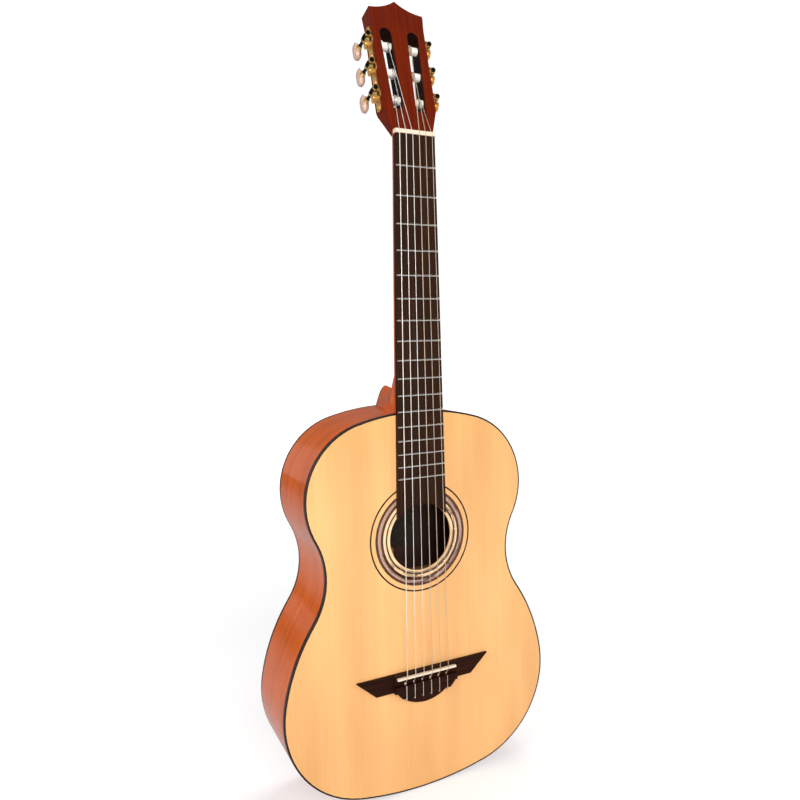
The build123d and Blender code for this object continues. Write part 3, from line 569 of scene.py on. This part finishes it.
def placed(mesh, name, finish, body, nodes, edge=0.0, smooth=32.0):
    """Object for a finished mesh: smooth, with soft edges, riding on its body."""
    mesh.name = name
    mesh.materials.clear()
    mesh.materials.append(finish_named(finish))
    mesh.shade_smooth()
    piece = bpy.data.objects.new(name, mesh)
    bpy.context.scene.collection.objects.link(piece)
    if edge:
        soften = piece.modifiers.new("soft_edges", "BEVEL")
        soften.width = edge
        soften.segments = 2
        soften.limit_method = "ANGLE"
        soften.angle_limit = math.radians(smooth)
        soften.harden_normals = True
    else:
        mesh.set_sharp_from_angle(angle=math.radians(smooth))
    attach(piece, body)
    if nodes:
        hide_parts(*nodes)
    return piece


def refinish(node, finish):
    """Gives a frame node whose shape is kept its finish."""
    mesh = frame["nodes"][node].data
    mesh.materials.clear()
    mesh.materials.append(finish_named(finish))


class GUITAR_OT_body(bpy.types.Operator):
    """Builds the soundboard, sides, back and end strip"""

    bl_idname = "guitar.body"
    bl_label = "Body"

    def execute(self, context):
        edge = context.scene.guitar_sizes.wood_edge
        finished_copy("soundboard", "spruce_top", "spruce_gloss_lacquer", smooth=40.0)
        finished_copy("side_bass", "rib_bass", "mahogany_sides")
        finished_copy("side_treble", "rib_treble", "mahogany_sides")
        back = finished_copy("back", "mahogany_back_plate", "mahogany_back")
        # the back's inner face gets the dark painted-shade finish
        back.data.materials.append(finish_named("mahogany_inside_painted_shade"))
        for face in back.data.polygons:
            face.material_index = 1 if face.normal.y < -0.5 else 0
        finished_copy("end_strip", "tail_strip", "binding_stained")
        finished_copy("binding_front", "edge_front", "binding_stained", edge=edge)
        finished_copy("binding_back", "edge_back", "binding_stained", edge=edge)
        return {"FINISHED"}


class GUITAR_OT_inside(bpy.types.Operator):
    """Finishes the linings, braces, blocks and label inside the body"""

    bl_idname = "guitar.inside"
    bl_label = "Inside"

    def execute(self, context):
        for node in (
            "linings_front", "linings_back", "tail_block", "harmonic_bars", "fan_braces",
            "back_braces", "back_strip",
        ):
            refinish(node, "inside_cedar")
        # the label takes its paper colour darkened as painted shade
        refinish("label", "label_painted_shade")
        return {"FINISHED"}


class GUITAR_OT_rosette(bpy.types.Operator):
    """Builds the inlaid rings round the sound hole"""

    bl_idname = "guitar.rosette"
    bl_label = "Rosette"

    def execute(self, context):
        finished_copy("rosette", "rosette_rings", "rosette_inlaid_wood")
        return {"FINISHED"}


class GUITAR_OT_neck(bpy.types.Operator):
    """Builds the neck with its heel, the heel cap and the head's veneer"""

    bl_idname = "guitar.neck"
    bl_label = "Neck"

    def execute(self, context):
        edge = context.scene.guitar_sizes.wood_edge
        for node, name, finish, slot in (
            ("neck", "neck_and_heel", "mahogany_neck", "mahogany"),
            ("head_veneer", "head_face", "head_veneer_stained", "veneer"),
        ):
            piece = finished_copy(node, name, finish)
            piece.data.materials.append(finish_named("slot_wall_painted_shade"))
            piece.data.materials.append(finish_named("mahogany_head_edge"))
            for face in piece.data.polygons:
                place = HEAD_TURN @ (face.center - HEAD_ORIGIN)
                if abs((HEAD_TURN @ face.normal).z) > 0.5 or place.y < 0:
                    continue
                between = SLOT_LOW < place.y < SLOT_HIGH and abs(place.x) < SLOT_REACH
                # faces inside the slots take the painted slot shade, the others the head's edge finish
                face.material_index = 1 if between else 2
        finished_copy("heel_cap", "heel_cap_wood", "rosewood_oiled", edge=edge)
        return {"FINISHED"}


class GUITAR_OT_fingerboard(bpy.types.Operator):
    """Builds the fingerboard, its frets and the nut"""

    bl_idname = "guitar.fingerboard"
    bl_label = "Fingerboard"

    def execute(self, context):
        edge = context.scene.guitar_sizes.fine_edge
        finished_copy("fingerboard", "board", "fingerboard_rosewood")
        finished_copy("frets", "fret_wires", "nickel_silver")
        finished_copy("nut", "nut_bone", "bone_polished", edge=edge)
        return {"FINISHED"}


class GUITAR_OT_bridge(bpy.types.Operator):
    """Builds the bridge and its saddle"""

    bl_idname = "guitar.bridge"
    bl_label = "Bridge"

    def execute(self, context):
        edge = context.scene.guitar_sizes.fine_edge
        finished_copy("bridge", "bridge_wood", "rosewood_oiled", edge=edge * 2)
        finished_copy("saddle", "saddle_bone", "bone_polished", edge=edge)
        return {"FINISHED"}


class GUITAR_OT_strings(bpy.types.Operator):
    """Builds the three plain and the three wound strings"""

    bl_idname = "guitar.strings"
    bl_label = "Strings"

    def execute(self, context):
        for number in STATIONS:
            plain = number <= 3
            finished_copy(
                f"string_{number}", f"{'treble' if plain else 'bass'}_string_{number}",
                "clear_nylon" if plain else "silvered_winding",
                smooth=60.0,
            )
        return {"FINISHED"}


class GUITAR_OT_tuners(bpy.types.Operator):
    """Builds the plates, screws, gears, worms and rollers of the tuners"""

    bl_idname = "guitar.tuners"
    bl_label = "Tuners"

    def execute(self, context):
        edge = context.scene.guitar_sizes.metal_edge
        for side in ("bass", "treble"):
            finished_copy(
                f"tuner_plate_{side}", f"plate_{side}", "gold_plated_brass", edge=edge
            )
        finished_copy("plate_screws", "screws", "gold_plated_brass")
        for number in STATIONS:
            finished_copy(f"gear_{number}", f"wheel_{number}", "gold_plated_brass")
            finished_copy(f"worm_shaft_{number}", f"worm_{number}", "blackened_steel")
            finished_copy(f"roller_{number}", f"barrel_{number}", "roller_plastic")
        return {"FINISHED"}


class GUITAR_OT_buttons(bpy.types.Operator):
    """Builds the oval pearl buttons and their turned ferrules"""

    bl_idname = "guitar.buttons"
    bl_label = "Buttons"

    def execute(self, context):
        turns = {j["name"]: j for j in frame["joints"]}
        for number in STATIONS:
            turn = turns[f"button_turn_{number}"]
            out = Vector(turn["axis"])
            across = Vector((1.0, 0.0, 0.0))
            up = out.cross(across)
            place = Matrix((across, up, out)).transposed().to_4x4()
            place.translation = Vector(turn["pos_m"])
            body = f"button_shaft_{number}"

            shape = bmesh.new()
            bmesh.ops.create_cube(shape, size=2.0)
            bmesh.ops.bevel(
                shape, geom=shape.edges, offset=0.8, offset_type="OFFSET", segments=9, profile=0.5,
                affect="EDGES", material=-1,
            )
            half = Vector(BUTTON_SIZE) / 2
            bmesh.ops.scale(shape, vec=half, verts=shape.verts)
            bmesh.ops.translate(shape, vec=(0, 0, BUTTON_MIDDLE), verts=shape.verts)
            bmesh.ops.transform(shape, matrix=place, verts=shape.verts)
            mesh = bpy.data.meshes.new(f"pearl_button_{number}")
            shape.to_mesh(mesh)
            shape.free()
            placed(
                mesh, f"pearl_button_{number}", "pearloid_plastic", body,
                [f"button_{number}"],
            )

            shape = bmesh.new()
            profile = [
                shape.verts.new((radius * MM, 0.0, (BUTTON_FRONT + step * MM)))
                for step, radius in FERRULE_PROFILE
            ]
            rims = [shape.edges.new(pair) for pair in zip(profile, profile[1:])]
            bmesh.ops.spin(
                shape, geom=[*profile, *rims], axis=(0, 0, 1), cent=(0, 0, 0), angle=math.tau,
                steps=32, use_merge=True,
            )
            bmesh.ops.remove_doubles(shape, verts=shape.verts, dist=0.001 * MM)
            bmesh.ops.recalc_face_normals(shape, faces=shape.faces)
            bmesh.ops.transform(shape, matrix=place, verts=shape.verts)
            mesh = bpy.data.meshes.new(f"ferrule_{number}")
            shape.to_mesh(mesh)
            shape.free()
            placed(mesh, f"ferrule_{number}", "gold_plated_brass", body, [])
        return {"FINISHED"}


class GUITAR_OT_stage(bpy.types.Operator):
    """Builds the floor, the white air, the studio lights and the camera"""

    bl_idname = "guitar.stage"
    bl_label = "Stage"

    def execute(self, context):
        scene = context.scene
        sizes = scene.guitar_sizes
        view = bpy.data.objects.new("camera", bpy.data.cameras.new("camera"))
        scene.collection.objects.link(view)
        view.location = sizes.camera_place
        view.rotation_euler = Euler(sizes.camera_turn)
        view.data.lens = sizes.lens
        view.data.sensor_width = 36.0
        scene.camera = view

        shape = bmesh.new()
        bmesh.ops.create_grid(shape, x_segments=1, y_segments=1, size=40.0)
        bmesh.ops.translate(shape, vec=(0, 0, cad_low.z), verts=shape.verts)
        mesh = bpy.data.meshes.new("studio_floor")
        shape.to_mesh(mesh)
        shape.free()
        # the floor is lit from below far from the guitar, like a light table
        material, tree, shader, place = blank_finish("matte_studio_paint")
        paint = tuple(scene.guitar_colours.floor)
        away = add_node(tree, "ShaderNodeVectorMath", {0: place}, operation="LENGTH")
        glow = add_node(
            tree, "ShaderNodeMapRange",
            {"Value": away.outputs["Value"], "From Min": 1.0, "From Max": 2.6, "To Min": 0.45,
             "To Max": 1.1},
        )
        seen = add_node(tree, "ShaderNodeLightPath").outputs["Is Camera Ray"]
        shown = add_node(
            tree, "ShaderNodeMath", {0: glow.outputs[0], 1: seen}, operation="MULTIPLY"
        )
        tree.links.new(shown.outputs[0], shader.inputs["Emission Strength"])
        set_shader(
            shader, Base_Color=paint, Roughness=0.9, Specular_IOR_Level=0.1,
            Emission_Color=(1.0, 1.0, 1.0),
        )
        mesh.materials.append(material)
        floor = bpy.data.objects.new("studio_floor", mesh)
        scene.collection.objects.link(floor)

        # the air looks white and lights softly, so that dark lacquer keeps its depth
        world = bpy.data.worlds.new("studio_air")
        scene.world = world
        world.use_nodes = True
        tree = world.node_tree
        seen = add_node(tree, "ShaderNodeLightPath").outputs["Is Camera Ray"]
        bright = add_node(
            tree, "ShaderNodeMapRange", {"Value": seen, "To Min": 0.16, "To Max": 1.05}
        )
        tree.links.new(bright.outputs[0], tree.nodes["Background"].inputs["Strength"])
        tree.nodes["Background"].inputs["Color"].default_value = (1.0, 1.0, 1.0, 1.0)
        centre = (cad_low + cad_high) / 2
        # softbox name, place from the guitar's middle, width, height, power
        for name, offset, width, height, power in (
            ("key_softbox", (-0.6, -2.4, 0.7), 1.4, 2.4, 62.0),
            ("fill_softbox", (2.0, -1.5, 0.3), 1.0, 2.0, 19.0),
            ("left_softbox", (-2.2, -0.6, 0.4), 0.9, 1.8, 27.0),
            ("rim_softbox", (-1.1, 2.0, 0.9), 1.2, 2.2, 2.8),
            ("overhead_softbox", (0.8, 0.6, 2.1), 1.6, 1.6, 34.0),
        ):
            lamp = bpy.data.lights.new(name, "AREA")
            lamp.shape = "RECTANGLE"
            lamp.size = width
            lamp.size_y = height
            lamp.energy = power
            light = bpy.data.objects.new(name, lamp)
            light.location = centre + Vector(offset)
            light.rotation_euler = (-Vector(offset)).to_track_quat("-Z", "Y").to_euler()
            scene.collection.objects.link(light)
        scene.view_settings.view_transform = "Standard"
        return {"FINISHED"}


OPERATORS = (
    GUITAR_OT_stage, GUITAR_OT_body, GUITAR_OT_inside, GUITAR_OT_rosette, GUITAR_OT_neck,
    GUITAR_OT_fingerboard, GUITAR_OT_bridge, GUITAR_OT_strings, GUITAR_OT_tuners,
    GUITAR_OT_buttons,
)


class GUITAR_PT_sidebar(bpy.types.Panel):
    """Lists the guitar's pieces, sizes and colours"""

    bl_idname = "GUITAR_PT_sidebar"
    bl_label = "Classical guitar"
    bl_space_type = "VIEW_3D"
    bl_region_type = "UI"
    bl_category = "Guitar"

    def draw(self, context):
        for operator in OPERATORS:
            self.layout.operator(operator.bl_idname)
        for group in (context.scene.guitar_sizes, context.scene.guitar_colours):
            for name in group.__annotations__:
                self.layout.prop(group, name)


CLASSES = (GuitarSizes, GuitarColours, *OPERATORS, GUITAR_PT_sidebar)


def register():
    for part in CLASSES:
        bpy.utils.register_class(part)
    bpy.types.Scene.guitar_sizes = bpy.props.PointerProperty(type=GuitarSizes)
    bpy.types.Scene.guitar_colours = bpy.props.PointerProperty(type=GuitarColours)


def unregister():
    del bpy.types.Scene.guitar_colours
    del bpy.types.Scene.guitar_sizes
    for part in reversed(CLASSES):
        bpy.utils.unregister_class(part)


def main():
    """Builds every piece in order."""
    register()
    for operator in OPERATORS:
        family, name = operator.bl_idname.split(".")
        getattr(getattr(bpy.ops, family), name)()


if __name__ == "__main__":
    main()
